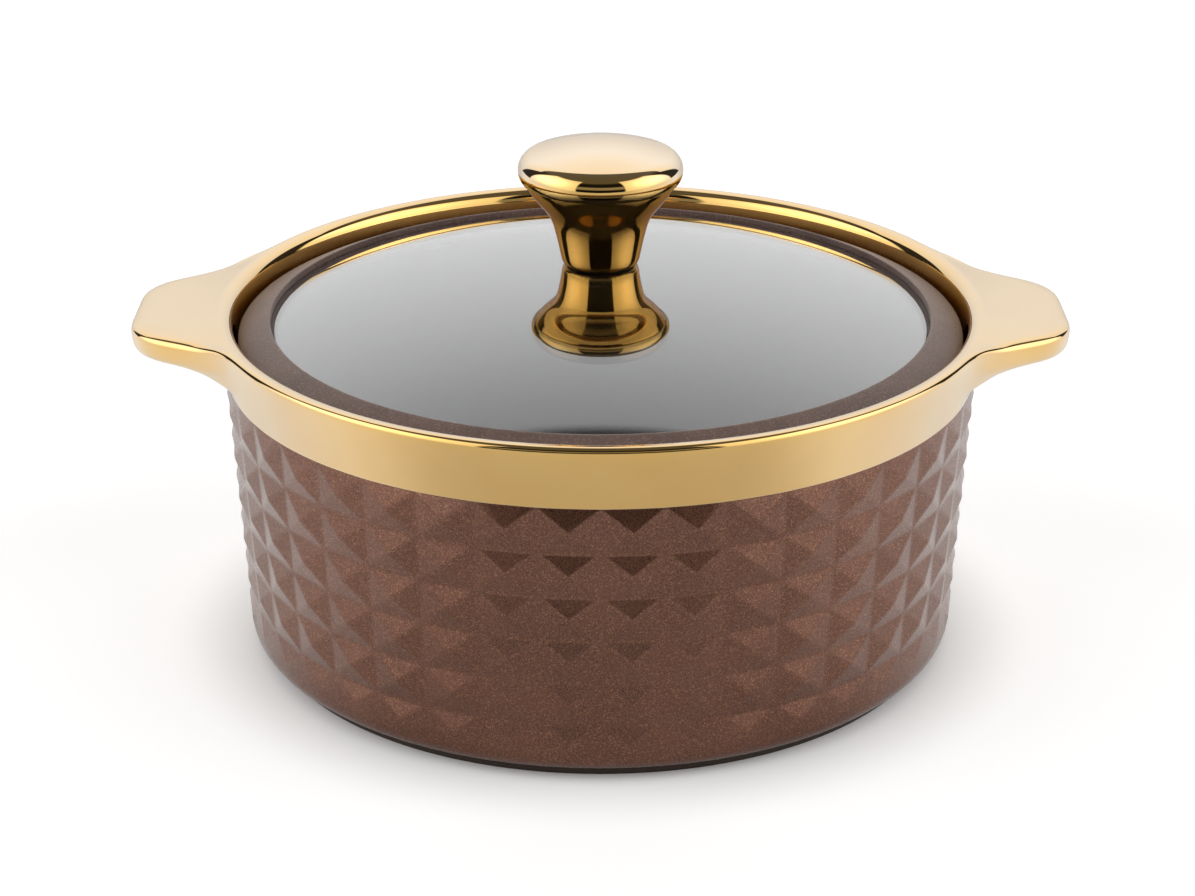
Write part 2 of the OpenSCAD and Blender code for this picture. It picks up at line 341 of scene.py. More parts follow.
potFinish = {"dark": (0.090, 0.033, 0.019), "light": (0.240, 0.104, 0.063), "fleck": (0.54, 0.28, 0.160),
             "grainSize": 0.30, "grainDetail": (2, 0.6), "grainSpan": (0.32, 0.68),
             "cloud": (45, 3), "cloudSpan": (0.35, 0.7, 0.0, 0.25),
             "fleckSize": 0.36, "fleckSpan": (0.72, 0.98), "fleckShare": 0.35,
             "metal": 0.85, "fleckMetal": 0.10, "rough": 0.25, "fleckRough": 0.05, "grainRough": 0.05,
             "clear": 0.5, "clearRough": 0.15, "bump": (0.25, 0.04)}


def speckledCoat(f):
    board = Board("speckledCoat")
    cells = board.node("TexVoronoi", {"feature": "F1"},
                       {"Vector": board.place(), "Scale": 1 / (f["fleckSize"] * mm)}, output="Color")
    sparkle = board.span(board.parts(cells)[0], *f["fleckSpan"])
    grain = board.grain(1 / (f["grainSize"] * mm), *f["grainDetail"])
    cloud = board.grain(*f["cloud"])
    body = board.blend(board.span(grain, *f["grainSpan"]), f["dark"], f["light"])
    body = board.blend(board.span(cloud, *f["cloudSpan"]), body, f["light"])
    colour = board.blend(sparkle * f["fleckShare"], body, f["fleck"])
    rough = f["rough"] - f["fleckRough"] * sparkle + f["grainRough"] * grain
    return board.finish(board.principled({
        "Base Color": colour, "Metallic": f["metal"] + f["fleckMetal"] * sparkle, "Roughness": rough,
        "Coat Weight": f["clear"], "Coat Roughness": f["clearRough"],
        "Normal": board.bump(grain, *f["bump"])}))


# dark lining of the pot

liningFinish = {"dark": (0.038, 0.030, 0.026), "light": (0.046, 0.036, 0.031), "grain": (2200, 2, 0.6),
                "grainSpan": (0.35, 0.7), "cloud": (60, 3), "rough": 0.42, "cloudRough": 0.10,
                "bump": (0.1, 0.02)}


def nonstickLining(f):
    board = Board("nonstickLining")
    grain = board.grain(*f["grain"])
    cloud = board.grain(*f["cloud"])
    colour = board.blend(board.span(grain, *f["grainSpan"]), f["dark"], f["light"])
    return board.finish(board.principled({
        "Base Color": colour, "Roughness": f["rough"] + f["cloudRough"] * cloud,
        "Normal": board.bump(grain, *f["bump"])}))


# brown silicone with a dusty bloom

siliconeFinish = {"dark": (0.106, 0.056, 0.042), "light": (0.144, 0.080, 0.062), "cloud": (70, 4),
                  "cloudSpan": (0.3, 0.7), "dust": (0.37, 0.27, 0.235), "dustGrain": (1450, 2, 0.6),
                  "dustSpan": (0.50, 0.70, 0.0, 0.42), "grain": (1900, 2, 0.6), "rough": 0.44,
                  "grainRough": 0.12, "gloss": 0.5, "sheen": (0.92, 0.78, 0.71), "sheenWeight": 0.5,
                  "bump": (0.25, 0.04)}


def softSilicone(f):
    board = Board("softSilicone")
    grain = board.grain(*f["grain"])
    cloud = board.grain(*f["cloud"])
    dust = board.grain(*f["dustGrain"])
    colour = board.blend(board.span(cloud, *f["cloudSpan"]), f["dark"], f["light"])
    colour = board.blend(board.span(dust, *f["dustSpan"]), colour, f["dust"])
    return board.finish(board.principled({
        "Base Color": colour, "Roughness": f["rough"] + f["grainRough"] * grain,
        "Specular IOR Level": f["gloss"], "Sheen Weight": f["sheenWeight"], "Sheen Tint": f["sheen"],
        "Normal": board.bump(grain, *f["bump"])}))


# clear glass that mirrors more where it is seen at a slant

glassFinish = {"tint": (0.97, 0.98, 0.98), "ior": 1.5, "gloss": 0.80, "glossFrom": 0.22,
               "haze": (30, 3), "rough": 0.004, "hazeRough": 0.012}


def clearGlass(f):
    board = Board("clearGlass")
    rough = f["rough"] + f["hazeRough"] * board.grain(*f["haze"])
    body = board.principled({"Base Color": f["tint"], "Roughness": rough, "Transmission Weight": 1.0,
                             "IOR": f["ior"]})
    gloss = board.principled({"Base Color": f["tint"], "Metallic": 1.0, "Roughness": rough})
    share = board.maths("MAXIMUM", (board.slant() - f["glossFrom"]) * f["gloss"], 0.0)
    return board.finish(board.mixed(share, body, gloss))


# turned rings: the dark foot disc, and the steel and brass of the fittings

footFinish = {"dark": (0.036, 0.023, 0.016), "light": (0.062, 0.041, 0.030), "rings": (900, 2),
              "metal": 0.15, "rough": 0.52, "ringRough": 0.15, "bump": (0.3, 0.05)}
steelFinish = {"dark": (0.50, 0.50, 0.51), "light": (0.62, 0.62, 0.63), "rings": (2600, 2),
               "metal": 1.0, "rough": 0.22, "ringRough": 0.12, "bump": (0.2, 0.02)}
brassFinish = {"dark": (0.56, 0.39, 0.14), "light": (0.66, 0.47, 0.19), "rings": (2600, 2),
               "metal": 1.0, "rough": 0.26, "ringRough": 0.12, "bump": (0.2, 0.02)}


def turnedFinish(name, f, upright):
    # rings on a face that looks along the axis, and also up its sides if upright
    board = Board(name)
    x, y, z = board.parts(board.place())
    where = (x * x + y * y) ** 0.5
    if upright:
        where = where + z
    rings = board.rings(where, *f["rings"])
    return board.finish(board.principled({
        "Base Color": board.blend(rings, f["dark"], f["light"]), "Metallic": f["metal"],
        "Roughness": f["rough"] + f["ringRough"] * rings, "Normal": board.bump(rings, *f["bump"])}))


# dark rubber of the washers

washerFinish = {"dark": (0.022, 0.019, 0.018), "light": (0.048, 0.042, 0.040), "grain": (1500, 3),
                "rough": 0.6, "grainRough": 0.15, "bump": (0.25, 0.04)}


def washerRubber(f):
    board = Board("washerRubber")
    grain = board.grain(*f["grain"])
    return board.finish(board.principled({
        "Base Color": board.blend(grain, f["dark"], f["light"]),
        "Roughness": f["rough"] + f["grainRough"] * grain, "Normal": board.bump(grain, *f["bump"])}))


gold = polishedGold("polishedGold", goldFinish)
stemGold = polishedGold("stemGold", stemFinish)
capGold = polishedGold("capGold", capFinish)
shadedGold = polishedGold("shadedGold", shadedGoldFinish)
coat = speckledCoat(potFinish)
lining = nonstickLining(liningFinish)
silicone = softSilicone(siliconeFinish)
glass = clearGlass(glassFinish)
foot = turnedFinish("darkFoot", footFinish, False)
steel = turnedFinish("turnedSteel", steelFinish, True)
brass = turnedFinish("turnedBrass", brassFinish, True)
rubber = washerRubber(washerFinish)
print("finishes mixed")


# pot: forty columns and five rows of pyramids, a half row that runs out, then the lining

pot = {"columns": 40, "rows": 5, "wallR": 124.2, "topZ": 94.7, "lastZ": 20.2, "draft": 3.3, "peak": 1.7,
       # the half row, and the plain zone and round edge under it
       "lastPeakZ": 13.5, "runOut": 1.65, "plain": 1.2, "roundZ": 9.0, "round": 6.0, "roundSteps": 8,
       # recess for the foot disc, with its clearance and broken edge
       "footR": 114.55, "footZ": 3.0, "footDeep": 4.2, "footGap": 0.05, "footBreak": 0.15,
       "softEdge": 0.8, "softSteps": 3,
       # neck and seat, hidden under the collar
       "neckR": 119.5, "neckCuts": 3, "neckOut": 0.3, "neckRise": 0.2, "neckBreak": 0.4, "seatZ": 102.0,
       # inside
       "cavityR": 116.5, "lipRound": 0.6, "lipMiddle": 0.15, "wall": 7.7, "floorZ": 9.0,
       "innerRound": 12.0, "innerSteps": 10, "floorRings": (80, 50, 20),
       # faces nearer the axis and higher than these are the lining
       "liningR": 117.2, "liningLow": 5.2,
       "smoothAngle": 40, "flatWeight": 90}


def makePot(p):
    halfStep = pi / p["columns"]
    rowH = (p["topZ"] - p["lastZ"]) / p["rows"]

    def skinR(z):
        return p["wallR"] - (p["topZ"] - z) * tan(radians(p["draft"]))

    piece = freshPiece("potShell", vertices=p["columns"], radius=p["wallR"] * mm)
    rise(p["topZ"])
    ring = {"r": p["wallR"], "z": p["topZ"]}
    for row in range(p["rows"]):
        z = p["topZ"] - (row + 1) * rowH
        pullRing(ring, skinR(z), z)
    # a poked face is a pyramid, and its foot lies on the chord between two corners
    pick(piece, "FACE", lambda f: True)
    chordDepth = p["wallR"] * (1 - cos(halfStep))
    bpy.ops.mesh.poke(offset=(p["peak"] + chordDepth) * mm, use_relative_offset=False)
    # half row: its points sit high, and its sides run out into the plain zone
    pick(piece, "EDGE", atHeight(p["lastZ"]))
    plainR = skinR(p["roundZ"]) + p["plain"]
    pullRing(ring, plainR, p["roundZ"])
    pick(piece, "FACE", lambda f: max(v.co.z for v in f.verts) < (p["lastZ"] + margin) * mm)
    bpy.ops.mesh.poke(offset=0.0, use_relative_offset=False)
    middle = (p["lastZ"] + p["roundZ"]) / 2
    pick(piece, "VERT", lambda v: (p["roundZ"] + margin) * mm < v.co.z < (p["lastZ"] - margin) * mm)
    widen((skinR(p["lastPeakZ"]) + p["runOut"]) / pickedRadii(piece)[0])
    rise(p["lastPeakZ"] - middle)
    # the lower ring gets twice the corners, all on one circle
    pick(piece, "EDGE", atHeight(p["roundZ"]))
    bpy.ops.mesh.subdivide(number_cuts=1)
    pick(piece, "VERT", lambda v: abs(v.co.z - p["roundZ"] * mm) < hair * mm
         and hypot(v.co.x, v.co.y) < (plainR - margin) * mm)
    widen(1 / cos(halfStep))
    # rounded bottom edge, then the step up to the foot disc's recess
    pick(piece, "EDGE", atHeight(p["roundZ"]))
    for r, z in bow((plainR - p["round"], p["roundZ"]), p["round"], 0, -90, p["roundSteps"])[1:]:
        pullRing(ring, r, z)
    recessR = p["footR"] + p["footGap"]
    pullRing(ring, recessR + p["footBreak"], p["footZ"])
    pullRing(ring, recessR, p["footZ"] + p["footBreak"])
    pullRing(ring, recessR, p["footDeep"])
    bpy.ops.mesh.edge_face_add()
    # soften every ridge and valley of the pattern
    low = (p["roundZ"] + margin) * mm
    pick(piece, "EDGE", lambda e: min(v.co.z for v in e.verts) > low and not isOpen(e))
    bpy.ops.mesh.bevel(offset=p["softEdge"] * mm, segments=p["softSteps"], profile=0.5, affect="EDGES",
                       clamp_overlap=True)
    # neck and seat go on from the hidden upper ring, which is made round on the way
    pick(piece, "EDGE", isOpen)
    bpy.ops.mesh.subdivide(number_cuts=p["neckCuts"])
    pick(piece, "EDGE", isOpen)
    ring["r"], ring["z"] = p["wallR"], p["topZ"]
    pullRing(ring, p["neckR"] + p["neckOut"], p["topZ"])
    bpy.ops.transform.tosphere(value=1.0)
    ring["r"] = max(pickedRadii(piece))
    pullRing(ring, p["neckR"], p["topZ"] + p["neckRise"])
    pullRing(ring, p["neckR"], p["seatZ"] - p["neckBreak"])
    pullRing(ring, p["neckR"] - p["neckBreak"], p["seatZ"])
    # inside, from the lip down to the middle of the floor
    pullRing(ring, p["cavityR"] + p["lipRound"], p["seatZ"])
    pullRing(ring, p["cavityR"] + p["lipMiddle"], p["seatZ"] - p["lipMiddle"])
    pullRing(ring, p["cavityR"], p["seatZ"] - p["lipRound"])
    pullRing(ring, p["cavityR"], p["topZ"])
    wallFoot = p["floorZ"] + p["innerRound"]
    turnR = skinR(wallFoot) - p["wall"] - p["innerRound"]
    for r, z in bow((turnR, wallFoot), p["innerRound"], 0, -90, p["innerSteps"]):
        pullRing(ring, r, z)
    for r in p["floorRings"]:
        pullRing(ring, r, p["floorZ"])
    bpy.ops.mesh.edge_face_add()
    bpy.ops.mesh.poke(offset=0.0)
    closeUp()
    doneEditing(piece, p["smoothAngle"])
    # large faces keep their own normal, so that the facets stay flat between soft edges
    addModifier(piece, "WEIGHTED_NORMAL", mode="FACE_AREA", weight=p["flatWeight"], keep_sharp=True)
    dress(piece, coat)
    piece.data.materials.append(lining)
    for face in piece.data.polygons:
        near = hypot(face.center.x, face.center.y) < p["liningR"] * mm
        if near and face.center.z > p["liningLow"] * mm:
            face.material_index = 1
    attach(piece, "pot")
    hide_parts("pot_body")
    return piece


potShell = makePot(pot)
print("pot modelled:", len(potShell.data.polygons), "faces")


# foot disc, as radius and height

footDisc = {"outline": [(0, 0), (40, 0), (80, 0), (113.8, 0), (114.2, 0.1), (114.4, 0.4), (114.45, 0.9),
                        (114.45, 3.9), (114.2, 4.15), (80, 4.15), (0, 4.15)],
            "steps": 160, "smoothAngle": 40}
footPiece = turnOnLathe("footDisc", footDisc["outline"], footDisc["steps"], False, footDisc["smoothAngle"])
dress(footPiece, foot)
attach(footPiece, "pot")
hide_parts("base_disc")
print("foot disc turned")


# collar with its two lug handles: one quarter is drawn as a cage, mirrored and smoothed

collar = {
    # section of the rim away from the handles, from the inner lower edge round over the crest
    "section": [(119.75, 94.7), (121.8, 94.7), (123.7, 94.7), (124.6, 95.05), (124.85, 96.2), (125.4, 98.6),
                (125.95, 100.8), (126.45, 102.9), (126.95, 104.9), (127.65, 107.8), (128.3, 110.7),
                (128.9, 113.5), (129.1, 115.2), (128.4, 116.25), (127.7, 116.47), (127.2, 116.53),
                (126.8, 116.55), (124.9, 116.3), (123.1, 115.3), (122.2, 113.3), (121.85, 110.6),
                (121.6, 106.6), (121.4, 102.7), (121.2, 102.05), (120.4, 102.0), (119.8, 101.95),
                (119.65, 101.0), (119.65, 95.6)],
    # the rows of that section that a handle grows from start here and end before the crest
    "firstRow": 6, "crestRow": 16,
    # plan of a handle
    "rimR": 129.0, "tipR": 155.03, "tipW": 48.3, "lean": 30.5, "corner": 21.5, "fillet": 58.0,
    # its top falls by drop towards the tip, and its underside sweeps down into the band
    "topZ": 116.5, "drop": 2.3, "level": 2.5, "lowZ": 104.8, "sweep": 16.0, "sweepDown": 2.6,
    # its round edge, from the underside to the top: steps in from the outline and up from the middle,
    # in half thicknesses, where a step in is at most this share of how far the handle stands out
    "edge": [(0.80, -1.03), (0.14, -0.80), (-0.02, 0.0), (-0.06, 0.78), (0.44, 1.03)], "edgeShare": 0.7,
    # its lowest row on the band, and how far out the rows at the root and by the crest stand:
    # a share of how far the handle stands out, and a most
    "bandRow": (126.1, 99.6), "rootOut": (0.2, 0.6), "crestOut": (0.3, 0.8),
    # how far each row goes out with the outline before the handle has its own shape, which it has
    # where it stands out this far
    "push": [0, 0, 0.3, 0.7, 1, 1, 1, 1, 0.8, 0.5], "growOver": 7.0,
    "handleColumns": 18, "rimColumns": 20, "smoothLevels": 2, "smoothAngle": 180,
    # upright inner wall, which gets the darker, less glossy gold copy as painted shade
    "shadedWallR": 122.6, "shadedWallLow": 102.0, "shadedWallTop": 115.0}


def within(share):
    return max(0.0, min(1.0, share))


def halfway(p, q):
    return ((p[0] + q[0]) / 2, (p[1] + q[1]) / 2)


def handleOutline(c):
    # centres of the root fillet and of the tip corner, and the lengths of the four stretches
    lean = radians(c["lean"])
    side = (-cos(lean), sin(lean))
    normal = (sin(lean), cos(lean))
    tip = (c["tipR"], c["tipW"] / 2)
    start = (tip[0] + c["fillet"] * normal[0], tip[1] + c["fillet"] * normal[1])
    along = start[0] * side[0] + start[1] * side[1]
    reach = c["rimR"] + c["fillet"]
    t = -along - sqrt(along ** 2 - start[0] ** 2 - start[1] ** 2 + reach ** 2)
    filletC = (start[0] + t * side[0], start[1] + t * side[1])
    cornerC = (tip[0] - c["corner"], tip[1] - c["corner"] * (1 - sin(lean)) / cos(lean))
    rootA = atan2(filletC[1], filletC[0])
    cornerTurn = pi / 2 - lean
    sideA = (cornerC[0] + c["corner"] * normal[0], cornerC[1] + c["corner"] * normal[1])
    sideB = (filletC[0] - c["fillet"] * normal[0], filletC[1] - c["fillet"] * normal[1])
    sideLength = hypot(sideB[0] - sideA[0], sideB[1] - sideA[1])
    filletTurn = cornerTurn - rootA
    lengths = (cornerC[1], c["corner"] * cornerTurn, sideLength, c["fillet"] * filletTurn)

    def at(share):
        # point and outward normal at a share of the way from the tip's middle to the root
        s = share * sum(lengths)
        if s <= lengths[0]:
            return (c["tipR"], s), (1.0, 0.0)
        s -= lengths[0]
        if s <= lengths[1]:
            a = s / c["corner"]
            return (cornerC[0] + c["corner"] * cos(a), cornerC[1] + c["corner"] * sin(a)), (cos(a), sin(a))
        s -= lengths[1]
        if s <= lengths[2]:
            return (sideA[0] + s * side[0], sideA[1] + s * side[1]), normal
        a = cornerTurn - (s - lengths[2]) / c["fillet"]
        return (filletC[0] - c["fillet"] * cos(a), filletC[1] - c["fillet"] * sin(a)), (cos(a), sin(a))

    return at, rootA


def handleRows(c, point, normal, angle):
    # where the rows of one column lie on the finished handle, from the band up to the crest
    crestR = c["section"][c["crestRow"]][0]
    half = (c["topZ"] - c["drop"] - c["lowZ"]) / 2
    flatFrom = c["tipR"] - half
    out = hypot(*point) - c["rimR"]

    def topAt(x, y):
        left = 1 - within((hypot(x, y) - crestR) / (flatFrom - crestR))
        return c["topZ"] - c["drop"] * (1 - left ** c["level"])

    def hang(x, y):
        # how far the underside hangs lower towards the band
        left = 1 - within((hypot(x, y) - c["rimR"]) / c["sweep"])
        return c["sweepDown"] * left * left

    def rowNear(share, most):
        return polar(c["rimR"] + min(most, share * out), angle)

    middle = topAt(*point) - half
    edge = []
    for step, lift in c["edge"]:
        d = step * min(half, c["edgeShare"] * out)
        edge.append((point[0] - d * normal[0], point[1] - d * normal[1], middle + lift * half))
    root = rowNear(*c["rootOut"])
    nearCrest = rowNear(*c["crestOut"])
    under = halfway(root, edge[0])
    over = halfway(nearCrest, edge[-1])
    for i in (0, 1):
        x, y, z = edge[i]
        edge[i] = (x, y, z - hang(x, y))
    bandR, bandZ = c["bandRow"]
    band = (*polar(bandR, angle), bandZ)
    low = [(*xy, c["lowZ"] - hang(*xy)) for xy in (root, under)]
    top = [(*xy, topAt(*xy)) for xy in (over, nearCrest)]
    return [band, *low, *edge, *top]


def makeCollar(c):
    section = c["section"]
    piece = drawLine("rimCollar", section, True)
    outlineAt, rootA = handleOutline(c)
    columns = c["handleColumns"]
    angles = [rootA * j / columns for j in range(columns + 1)]
    angles += [rootA + (pi / 2 - rootA) * (j + 1) / c["rimColumns"] for j in range(c["rimColumns"])]
    # sweep the section round a quarter, column by column
    pick(piece, "EDGE", lambda e: True)
    for before, after in zip(angles, angles[1:]):
        bpy.ops.mesh.extrude_region_move()
        bpy.ops.transform.rotate(value=before - after, orient_axis="Z", center_override=(0, 0, 0))
    # pull the handle's rows out of the rim
    for j, a in enumerate(angles[:columns]):
        point, normal = outlineAt(j / columns)
        out = hypot(*point) - c["rimR"]
        grown = within(out / c["growOver"])
        grown = grown * grown * (3 - 2 * grown)  # smooth step
        rows = section[c["firstRow"]:c["crestRow"]]
        for (r, z), push, goal in zip(rows, c["push"], handleRows(c, point, normal, a)):
            old = (*polar(r, a), z)
            turned = a + (atan2(point[1], point[0]) - a) * push
            start = (*polar(r + push * out, turned), z)
            move = [(s + (g - s) * grown - o) * mm for s, g, o in zip(start, goal, old)]
            found = pick(piece, "VERT", atPoint(old))
            if found != 1:
                print("collar column", j, "at height", z, "found", found)
            bpy.ops.transform.translate(value=move)
    bpy.ops.mesh.select_all(action="SELECT")
    doneEditing(piece, c["smoothAngle"])
    addModifier(piece, "MIRROR", use_axis=(True, True, False), use_mirror_merge=True,
                merge_threshold=hair * mm)
    bpy.ops.object.mode_set(mode="EDIT")
    closeUp()
    bpy.ops.object.mode_set(mode="OBJECT")
    addModifier(piece, "SUBSURF", levels=c["smoothLevels"], render_levels=c["smoothLevels"])
    bpy.ops.object.shade_smooth_by_angle(angle=radians(c["smoothAngle"]))
    dress(piece, gold)
    # the collar's inner wall gets the darker gold copy, as painted shade
    piece.data.materials.append(shadedGold)
    for face in piece.data.polygons:
        upright = c["shadedWallLow"] * mm < face.center.z < c["shadedWallTop"] * mm
        if upright and hypot(face.center.x, face.center.y) < c["shadedWallR"] * mm:
            face.material_index = 1
    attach(piece, "pot")
    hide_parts("rim_collar")
    return piece


rimCollar = makeCollar(collar)
print("collar and handles modelled:", len(rimCollar.data.polygons), "faces")


# glass dome of the lid

dome = {"apexZ": 129.9, "domeR": 333.4, "thick": 4.0, "outerR": 116.9, "holeR": 4.0, "rings": 40,
        # edge of the glass: where its round starts, a step in and down, and where its flat starts
        "edgeRound": 0.8, "edgeStep": (0.15, 0.35), "edgeFlat": 1.0, "steps": 160, "smoothAngle": 30}


def domeZ(g, r, drop=0.0):
    return g["apexZ"] - g["domeR"] + sqrt((g["domeR"] - drop) ** 2 - r * r)


def makeGlass(g):
    edge = g["outerR"]
    width = edge - g["edgeRound"] - g["holeR"]
    radii = [g["holeR"] + width * i / g["rings"] for i in range(g["rings"] + 1)]
    top = [(r, domeZ(g, r)) for r in radii]
    low = [(r, domeZ(g, r, g["thick"])) for r in reversed(radii)]
    edgeTop = domeZ(g, edge)
    edgeLow = domeZ(g, edge, g["thick"])
    stepIn, stepDown = g["edgeStep"]
    rim = [(edge - stepIn, edgeTop - stepDown), (edge, edgeTop - g["edgeFlat"]),
           (edge, edgeLow + g["edgeFlat"]), (edge - stepIn, edgeLow + stepDown)]
    piece = turnOnLathe("lidGlass", top + rim + low, g["steps"], True, g["smoothAngle"])
    dress(piece, glass)
    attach(piece, "lid")
    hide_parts("lid_glass")
    return piece


# soft rim round the glass: its top is a flat cone from the outer edge up to the crest

seal = {"seatR": 115.3, "seatMiddle": 118, "seatZ": 102.0, "outerR": 120.7, "edgeZ": 109.0,
        # round corners, as steps from the foot and from the upper end of the outer wall
        "footCorner": [(-0.7, 0), (-0.2, 0.2), (0, 0.7)],
        "edgeCorner": [(0, -1.2), (-0.15, -0.45), (-0.6, 0.1)],
        "innerR": 109.8, "crestZ": 113.8, "coneRows": (119, 117, 115, 113, 111.4, 110.6),
        # round crest, as a step out from the inner wall and a height
        "crest": [(0.45, 113.53), (0.2, 113.5), (0.06, 113.36), (0, 113.1)],
        # channel for the glass with its clearance, then the lower inner corner
        "gap": 0.1, "channelRows": (112, 114), "lowCorner": [(0, 105.4), (0.3, 104.9)],
        "steps": 160, "smoothAngle": 40}


def makeSoftRim(p, g):
    slope = (p["crestZ"] - p["edgeZ"]) / (p["outerR"] - p["innerR"])
    channel = [p["innerR"], *p["channelRows"], g["outerR"] + p["gap"]]
    outline = [(p["seatR"], p["seatZ"]), (p["seatMiddle"], p["seatZ"])]
    outline += [(p["outerR"] + dr, p["seatZ"] + dz) for dr, dz in p["footCorner"]]
    outline += [(p["outerR"] + dr, p["edgeZ"] + dz) for dr, dz in p["edgeCorner"]]
    outline += [(r, p["edgeZ"] + slope * (p["outerR"] - r)) for r in p["coneRows"]]
    outline += [(p["innerR"] + dr, z) for dr, z in p["crest"]]
    outline += [(r, domeZ(g, r) + p["gap"]) for r in channel]
    outline += [(r, domeZ(g, r, g["thick"]) - p["gap"]) for r in reversed(channel)]
    outline += [(p["innerR"] + dr, z) for dr, z in p["lowCorner"]]
    piece = turnOnLathe("softRim", outline, p["steps"], True, p["smoothAngle"])
    dress(piece, silicone)
    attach(piece, "lid")
    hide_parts("lid_rim")
    return piece


lidGlass = makeGlass(dome)
softRim = makeSoftRim(seal, dome)
print("lid modelled")


# flared stem of the knob

stem = {"footZ": 130.1,
        # outside, as radius and height over the foot
        "outside": [(11.6, 0), (12.05, 0.2), (12.45, 0.55), (12.75, 1.1), (12.98, 1.8), (13.25, 3.0),
                    (13.6, 4.7), (14.05, 6.9), (14.6, 9.3), (15.15, 11.5), (15.75, 13.6), (16.4, 15.3),
                    (17.15, 16.8), (18.0, 18.1), (19.0, 19.4), (20.1, 20.7), (21.2, 22.0), (22.3, 23.4),
                    (23.3, 24.8), (24.2, 26.2), (24.85, 27.3), (25.3, 28.3)],
        "wall": 2.0, "floor": 3.0, "bore": 2.7, "washerR": 11.1, "washerDeep": 1.0,
        "steps": 128, "smoothAngle": 40}


def makeStem(k):
    floorZ = k["footZ"] + k["floor"]
    washerZ = k["footZ"] + k["washerDeep"]
    outside = [(r, k["footZ"] + h) for r, h in k["outside"]]
    inside = [(r - k["wall"], z) for r, z in reversed(outside) if z >= floorZ]
    underside = [(k["bore"], washerZ), (k["washerR"], washerZ), (k["washerR"], k["footZ"])]
    outline = underside + outside + inside + [(k["bore"], floorZ)]
    piece = turnOnLathe("knobStem", outline, k["steps"], True, k["smoothAngle"])
    dress(piece, stemGold)
    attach(piece, "lid")
    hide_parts("knob_stem")
    return piece


# lens-shaped cap of the knob: a round edge from the angle under to the angle crown, then a dome

cap = {"footZ": 158.4, "topZ": 171.5, "outerR": 27.2, "edgeRound": 5.85, "under": 40, "crown": 72,
       "edgeSteps": 20, "domeSteps": 24, "hollowR": 5.2, "hollowDeep": 6, "steps": 128, "smoothAngle": 40}


def makeCap(k):
    edgeZ = k["footZ"] + k["edgeRound"] * sin(radians(k["under"]))
    edgeC = (k["outerR"] - k["edgeRound"], edgeZ)
    edge = bow(edgeC, k["edgeRound"], -k["under"], k["crown"], k["edgeSteps"])
    shoulderR, shoulderZ = edge[-1]
    shares = [1 - i / k["domeSteps"] for i in range(1, k["domeSteps"] + 1)]
    crown = [(shoulderR * s, shoulderZ + (k["topZ"] - shoulderZ) * (1 - s ** 2)) for s in shares]
    hollowZ = k["footZ"] + k["hollowDeep"]
    outline = [(0, hollowZ), (k["hollowR"], hollowZ), (k["hollowR"], k["footZ"])] + edge + crown
    piece = turnOnLathe("knobCap", outline, k["steps"], False, k["smoothAngle"])
    # the lower half gets the darker, less glossy gold copy as painted shade
    dress(piece, capGold)
    piece.data.materials.append(shadedGold)
    for face in piece.data.polygons:
        if face.center.z < edgeZ * mm:
            face.material_index = 1
    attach(piece, "lid")
    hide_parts("knob_cap")
    return piece


knobStem = makeStem(stem)
knobCap = makeCap(cap)
print("knob modelled")


# fittings under the knob keep their CAD shape

fittings = {"knob_bush": brass, "knob_screw": steel, "screw_washer": steel, "upper_washer": rubber,
            "lower_washer": rubber}
for node, material in fittings.items():
    dress(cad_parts[node], material)
print("fittings dressed")


# white floor that keeps the shadow: it is lifted where the camera or a mirror sees it, but not in the
# shade close to the pot; sizes in metres

floorSetup = {"size": 12, "front": 1.0, "colour": 0.86, "cameraLift": 0.53, "shadeReach": 0.03,
              "shadeSamples": 8,
              # lift for mirrors, in front and at the sides, and where it goes from one to the other
              "glossLift": (0.09, 0.38), "glossSpan": (0.25, 0.85)}


def makeFloor(s):
    middleY = s["size"] / 2 - s["front"]
    bpy.ops.object.select_all(action="DESELECT")
    bpy.ops.mesh.primitive_plane_add(size=s["size"], location=(0, middleY, 0))
    floor = bpy.context.object
    floor.name = "floor"
    board = Board("paleFloor")
    seen = board.node("LightPath", output="Is Camera Ray")
    mirrored = board.node("LightPath", output="Is Glossy Ray")
    shade = board.node("BsdfDiffuse", inputs={"Color": (s["colour"],) * 3})
    x, y, z = board.parts(board.place())
    y = y + middleY
    glossLift = board.span(x * x / (x * x + y * y), *s["glossSpan"], *s["glossLift"])
    clear = board.node("AmbientOcclusion", {"samples": s["shadeSamples"]},
                       {"Distance": s["shadeReach"]}, output="AO")
    lift = clear * (seen * s["cameraLift"] + mirrored * glossLift)
    glow = board.node("Emission", inputs={"Color": (1, 1, 1), "Strength": lift})
    dress(floor, board.finish(board.node("AddShader", inputs={0: shade, 1: glow})))


# studio: a white backdrop that reaches overhead, a large soft light on each side, a dim ceiling, a dark
# opening in front and a pale reflector behind the camera; azimuth from the front and height in degrees

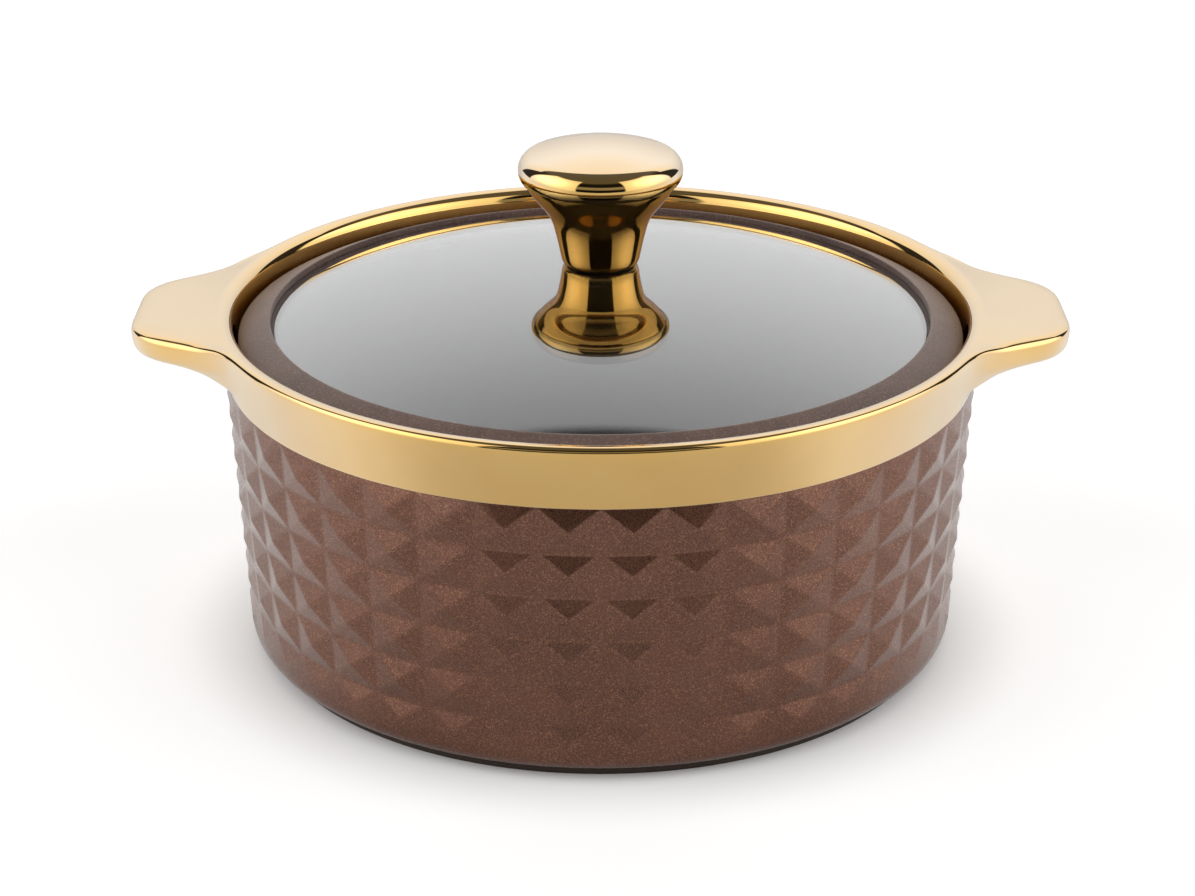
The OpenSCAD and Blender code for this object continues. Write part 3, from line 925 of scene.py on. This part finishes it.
studio = {
    # backdrop: two slanting side edges and a top edge that lies nearly overhead, and brighter higher up
    "sheetSide": (0.935, 0.528), "sheetSoft": (0.03, 0.03), "overhead": 0.61, "overheadSoft": (0.02, 0.02),
    "backdrop": (0.78, 1.10), "backdropSpan": (-8, 42),
    # side lights, hot in the middle
    "side": 0.85, "sideFrom": 34, "sideSoft": (1.5, 1.5), "sideBack": (0.40, 0.2), "backSoft": (0.03, 0.03),
    "sideTop": 55, "topSoft": (4, 2),
    "hot": 2.4, "hotAzimuth": 76, "hotHeight": 26, "hotSpread": (28, 22), "hotFade": 1.5,
    # ceiling, opening, and the dark gap between the opening and the backdrop
    "ceiling": 0.12, "frontTop": 43, "frontSoft": (3, 9), "front": 0.012, "openingSpan": (45, 60), "gap": 0.03,
    # the reflector keeps gold from going black when it is seen from behind
    "reflector": 0.30, "reflectorLow": 8, "lowSoft": (3, 2), "reflectorHigh": 22, "highSoft": (2, 4)}


def makeWorld(s):
    board = Board("studio", world=True)

    def past(value, edge, soft):
        # 0 before an edge and 1 past it
        return board.span(value, edge - soft[0], edge + soft[1])

    x, y, z = board.parts(board.node("TexCoord", output="Generated"))
    aside = board.maths("ABSOLUTE", x)
    azimuth = board.maths("ARCTAN2", aside, 0 - y) * (180 / pi)
    height = board.maths("ARCSINE", z) * (180 / pi)
    sideY, sideZ = s["sheetSide"]
    sheet = past(sideY * y + sideZ * z - aside, 0, s["sheetSoft"])
    sheet = sheet * past(y - s["overhead"] * z, 0, s["overheadSoft"])
    sheetLight = board.span(height, *s["backdropSpan"], *s["backdrop"])
    backX, backZ = s["sideBack"]
    box = past(azimuth, s["sideFrom"], s["sideSoft"])
    box = box * past(backX * aside - backZ * z - y, 0, s["backSoft"])
    box = box * (1 - past(height, s["sideTop"], s["topSoft"]))
    across = (azimuth - s["hotAzimuth"]) / s["hotSpread"][0]
    upward = (height - s["hotHeight"]) / s["hotSpread"][1]
    spot = 1 / (1 + (across * across + upward * upward) ** s["hotFade"])
    boxLight = s["side"] + (s["hot"] - s["side"]) * spot
    over = past(height, s["frontTop"], s["frontSoft"])
    opening = 1 - board.span(azimuth, *s["openingSpan"])
    reflector = past(height, s["reflectorLow"], s["lowSoft"])
    reflector = reflector * (1 - past(height, s["reflectorHigh"], s["highSoft"])) * s["reflector"]
    level = (s["front"] + reflector) * opening + s["gap"] * (1 - opening)
    rest = s["ceiling"] * over + (1 - over) * level
    light = sheet * sheetLight + box * boxLight + (1 - sheet) * (1 - box) * rest
    seen = board.node("LightPath", output="Is Camera Ray")
    strength = light * (1 - seen) + seen  # the camera itself sees plain white
    scene.world = board.finish(board.node("Background", inputs={"Color": (1, 1, 1), "Strength": strength}))


makeFloor(floorSetup)
makeWorld(studio)
print("stage lit")
